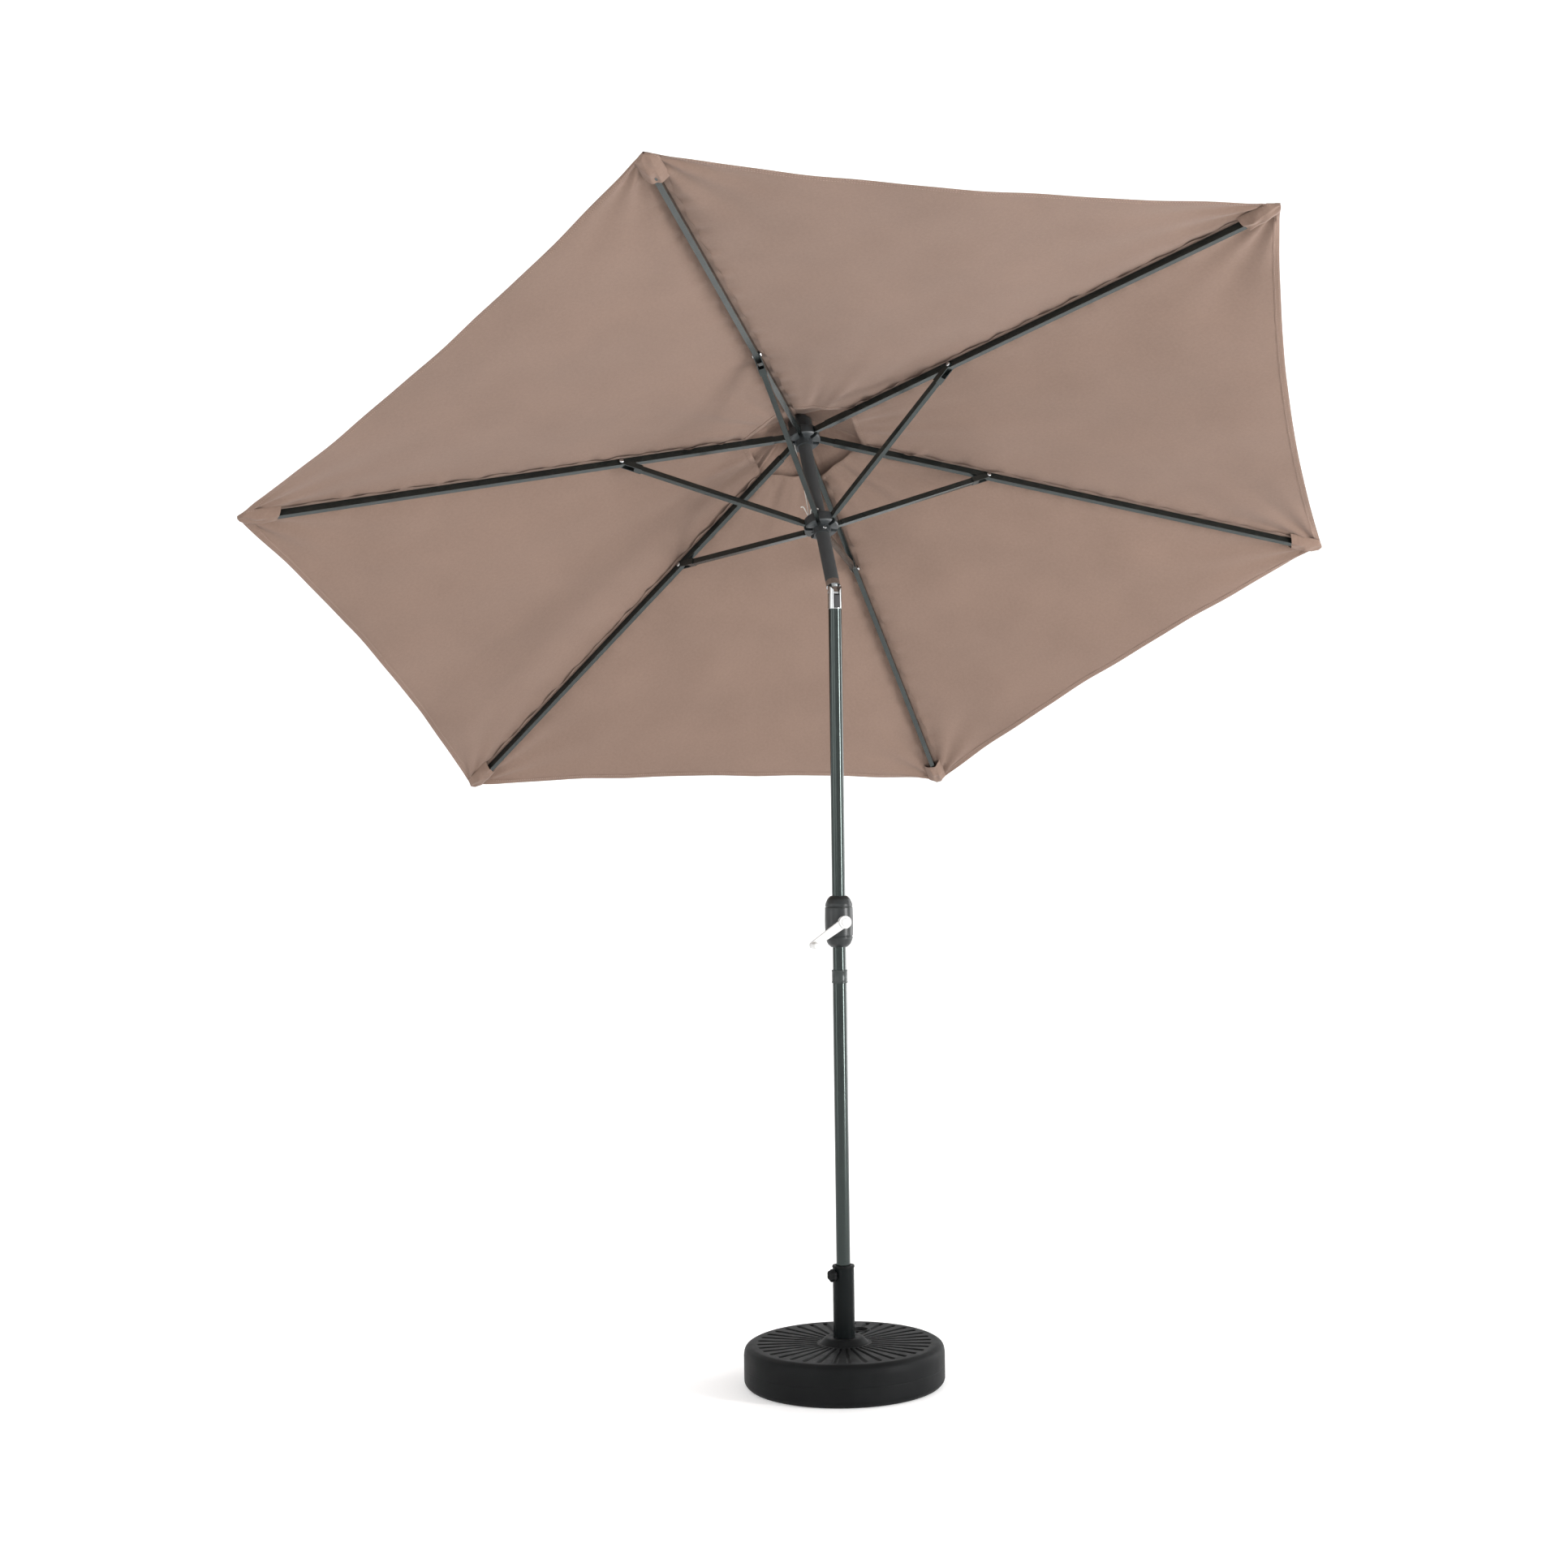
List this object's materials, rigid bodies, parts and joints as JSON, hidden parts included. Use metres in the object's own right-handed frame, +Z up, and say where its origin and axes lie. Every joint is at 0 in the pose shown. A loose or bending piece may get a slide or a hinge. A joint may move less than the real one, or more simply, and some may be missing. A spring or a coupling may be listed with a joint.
{
  "type": "patio umbrella with base",
  "caption": "Tilting market umbrella with a taupe fabric canopy on folding ribs, a crank-lifted runner, a jointed charcoal mast and a round grooved black base with a clamping tube.",
  "frame": {"origin": "centre of the base's flat underside, on the axis of the lower mast", "axes": "+Z up along the lower mast, +Y the way the canopy leans, -Y the side the crank faces"},
  "size_m": [2.729, 2.0536, 2.6141],
  "materials": {
    "base_black": "moulded, fine satin grain",
    "filling": "loose dry sand",
    "tube_black": "semi-gloss black powder coat",
    "fitting_black": "moulded",
    "mast_satin": "glossy dark grey-green coat",
    "collar_plastic": "moulded, semi-gloss",
    "crank_plastic": "moulded, semi-gloss",
    "handle_white": "moulded, glossy white",
    "steel_bright": "bright zinc plate",
    "knuckle_bright": "bright plated casting",
    "button_black": "moulded",
    "mast_matte": "matte charcoal coat",
    "hub_plastic": "moulded, satin",
    "cord_white": "braided cord",
    "cap_fabric": "woven polyester",
    "rib_satin": "satin dark grey-green coat",
    "canopy_fabric": "woven polyester"
  },
  "bodies": {
    "base": {"base_tank": "base_black", "ballast_fill": "filling", "fill_plug": "base_black", "stand_tube": "tube_black", "tube_adaptor": "fitting_black"},
    "clamp_knob": {"stand_knob": "fitting_black"},
    "pole": {"lower_mast": "mast_satin", "mast_foot_cap": "fitting_black", "mast_collar": "collar_plastic", "middle_mast": "mast_satin", "crank_housing_front": "crank_plastic", "crank_housing_back": "crank_plastic", "lift_cord_lower": "cord_white", "tilt_fork": "knuckle_bright", "tilt_pin": "steel_bright", "lift_cord_bend": "cord_white", "button_spring": "steel_bright"},
    "crank": {"crank_spindle": "steel_bright", "lift_cord_coil": "cord_white", "crank_arm": "handle_white"},
    "handle": {"crank_knob": "handle_white"},
    "button": {"tilt_button": "button_black"},
    "head": {"tilt_tongue": "knuckle_bright", "upper_mast": "mast_matte", "crown": "hub_plastic", "crown_ring": "steel_bright", "pulley_axle": "steel_bright", "lift_cord_upper": "cord_white", "lift_cord_fall": "cord_white", "vent_cap": "cap_fabric", "finial": "hub_plastic"},
    "sheave": {"pulley": "handle_white"},
    "slider": {"runner": "hub_plastic", "runner_ring": "steel_bright", "runner_screw": "steel_bright"},
    "rib_arm_1": {"rib_1": "rib_satin", "rib_rivet_1": "steel_bright", "canopy_gore_1": "canopy_fabric"},
    "strut_arm_1": {"strut_1": "rib_satin"},
    "rib_arm_2": {"rib_2": "rib_satin", "rib_rivet_2": "steel_bright", "canopy_gore_2": "canopy_fabric"},
    "strut_arm_2": {"strut_2": "rib_satin"},
    "rib_arm_3": {"rib_3": "rib_satin", "rib_rivet_3": "steel_bright", "canopy_gore_3": "canopy_fabric"},
    "strut_arm_3": {"strut_3": "rib_satin"},
    "rib_arm_4": {"rib_4": "rib_satin", "rib_rivet_4": "steel_bright", "canopy_gore_4": "canopy_fabric"},
    "strut_arm_4": {"strut_4": "rib_satin"},
    "rib_arm_5": {"rib_5": "rib_satin", "rib_rivet_5": "steel_bright", "canopy_gore_5": "canopy_fabric"},
    "strut_arm_5": {"strut_5": "rib_satin"},
    "rib_arm_6": {"rib_6": "rib_satin", "rib_rivet_6": "steel_bright", "canopy_gore_6": "canopy_fabric"},
    "strut_arm_6": {"strut_6": "rib_satin"}
  },
  "joints": [
    {"name": "pole_turn", "type": "hinge", "parent": "base", "child": "pole", "pos_m": [0, 0, 0.28], "axis": [0, 0, 1], "continuous": true},
    {"name": "clamp_turn", "type": "hinge", "parent": "base", "child": "clamp_knob", "pos_m": [-0.03289, -0.01197, 0.259], "axis": [-0.9397, -0.342, 0], "range_deg": [0, 720]},
    {"name": "tilt", "type": "hinge", "parent": "pole", "child": "head", "pos_m": [0, 0, 1.868], "axis": [1, 0, 0], "range_deg": [0, 30], "deforming": ["lift_cord_bend"]},
    {"name": "button_push", "type": "slide", "parent": "pole", "child": "button", "axis": [0, 1, 0], "range_m": [0, 0.0025], "stiffness_N_per_m": 400, "deforming": ["button_spring"]},
    {"name": "runner_slide", "type": "slide", "parent": "head", "child": "slider", "axis": [0, 0.5, 0.866], "range_m": [-0.12, 0], "deforming": ["lift_cord_fall"]},
    {"name": "crank_turn", "type": "hinge", "parent": "pole", "child": "crank", "pos_m": [0, 0, 1.09], "axis": [0, 1, 0], "range_deg": [-590, 0]},
    {"name": "handle_spin", "type": "hinge", "parent": "crank", "child": "handle", "pos_m": [-0.07967, -0.05, 1.03826], "axis": [0, 1, 0], "continuous": true},
    {"name": "sheave_turn", "type": "hinge", "parent": "head", "child": "sheave", "pos_m": [-0.01039, 0.2552, 2.29801], "axis": [0.5, 0.75, -0.433], "range_deg": [-580, 0]},
    {"name": "rib_fold_1", "type": "hinge", "parent": "head", "child": "rib_arm_1", "pos_m": [0.0324, 0.233, 2.27157], "axis": [0, 0.866, -0.5], "range_deg": [-0.5, 10], "deforming": ["canopy_gore_1"]},
    {"name": "strut_fold_1", "type": "hinge", "parent": "slider", "child": "strut_arm_1", "pos_m": [0.0324, 0.1, 2.04121], "axis": [0, 0.866, -0.5], "range_deg": [-8, 0.5]},
    {"name": "rib_fold_2", "type": "hinge", "parent": "head", "child": "rib_arm_2", "pos_m": [0.0162, 0.2573, 2.25754], "axis": [-0.866, 0.433, -0.25], "range_deg": [-0.5, 10], "deforming": ["canopy_gore_2"]},
    {"name": "strut_fold_2", "type": "hinge", "parent": "slider", "child": "strut_arm_2", "pos_m": [0.0162, 0.1243, 2.02718], "axis": [-0.866, 0.433, -0.25], "range_deg": [-8, 0.5]},
    {"name": "rib_fold_3", "type": "hinge", "parent": "head", "child": "rib_arm_3", "pos_m": [-0.0162, 0.2573, 2.25754], "axis": [-0.866, -0.433, 0.25], "range_deg": [-0.5, 10], "deforming": ["canopy_gore_3"]},
    {"name": "strut_fold_3", "type": "hinge", "parent": "slider", "child": "strut_arm_3", "pos_m": [-0.0162, 0.1243, 2.02718], "axis": [-0.866, -0.433, 0.25], "range_deg": [-8, 0.5]},
    {"name": "rib_fold_4", "type": "hinge", "parent": "head", "child": "rib_arm_4", "pos_m": [-0.0324, 0.233, 2.27157], "axis": [0, -0.866, 0.5], "range_deg": [-0.5, 10], "deforming": ["canopy_gore_4"]},
    {"name": "strut_fold_4", "type": "hinge", "parent": "slider", "child": "strut_arm_4", "pos_m": [-0.0324, 0.1, 2.04121], "axis": [0, -0.866, 0.5], "range_deg": [-8, 0.5]},
    {"name": "rib_fold_5", "type": "hinge", "parent": "head", "child": "rib_arm_5", "pos_m": [-0.0162, 0.2087, 2.2856], "axis": [0.866, -0.433, 0.25], "range_deg": [-0.5, 10], "deforming": ["canopy_gore_5"]},
    {"name": "strut_fold_5", "type": "hinge", "parent": "slider", "child": "strut_arm_5", "pos_m": [-0.0162, 0.0757, 2.05524], "axis": [0.866, -0.433, 0.25], "range_deg": [-8, 0.5]},
    {"name": "rib_fold_6", "type": "hinge", "parent": "head", "child": "rib_arm_6", "pos_m": [0.0162, 0.2087, 2.2856], "axis": [0.866, 0.433, -0.25], "range_deg": [-0.5, 10], "deforming": ["canopy_gore_6"]},
    {"name": "strut_fold_6", "type": "hinge", "parent": "slider", "child": "strut_arm_6", "pos_m": [0.0162, 0.0757, 2.05524], "axis": [0.866, 0.433, -0.25], "range_deg": [-8, 0.5]}
  ],
  "couplings": [
    {"joint": "crank_turn", "follows": "runner_slide", "rad_per_m": 85.106},
    {"joint": "sheave_turn", "follows": "runner_slide", "rad_per_m": 83.333},
    {"joint": "rib_fold_1", "follows": "runner_slide", "rad_per_m": -1.3756},
    {"joint": "strut_fold_1", "follows": "runner_slide", "rad_per_m": 0.95606},
    {"joint": "rib_fold_2", "follows": "runner_slide", "rad_per_m": -1.3756},
    {"joint": "strut_fold_2", "follows": "runner_slide", "rad_per_m": 0.95606},
    {"joint": "rib_fold_3", "follows": "runner_slide", "rad_per_m": -1.3756},
    {"joint": "strut_fold_3", "follows": "runner_slide", "rad_per_m": 0.95606},
    {"joint": "rib_fold_4", "follows": "runner_slide", "rad_per_m": -1.3756},
    {"joint": "strut_fold_4", "follows": "runner_slide", "rad_per_m": 0.95606},
    {"joint": "rib_fold_5", "follows": "runner_slide", "rad_per_m": -1.3756},
    {"joint": "strut_fold_5", "follows": "runner_slide", "rad_per_m": 0.95606},
    {"joint": "rib_fold_6", "follows": "runner_slide", "rad_per_m": -1.3756},
    {"joint": "strut_fold_6", "follows": "runner_slide", "rad_per_m": 0.95606}
  ]
}
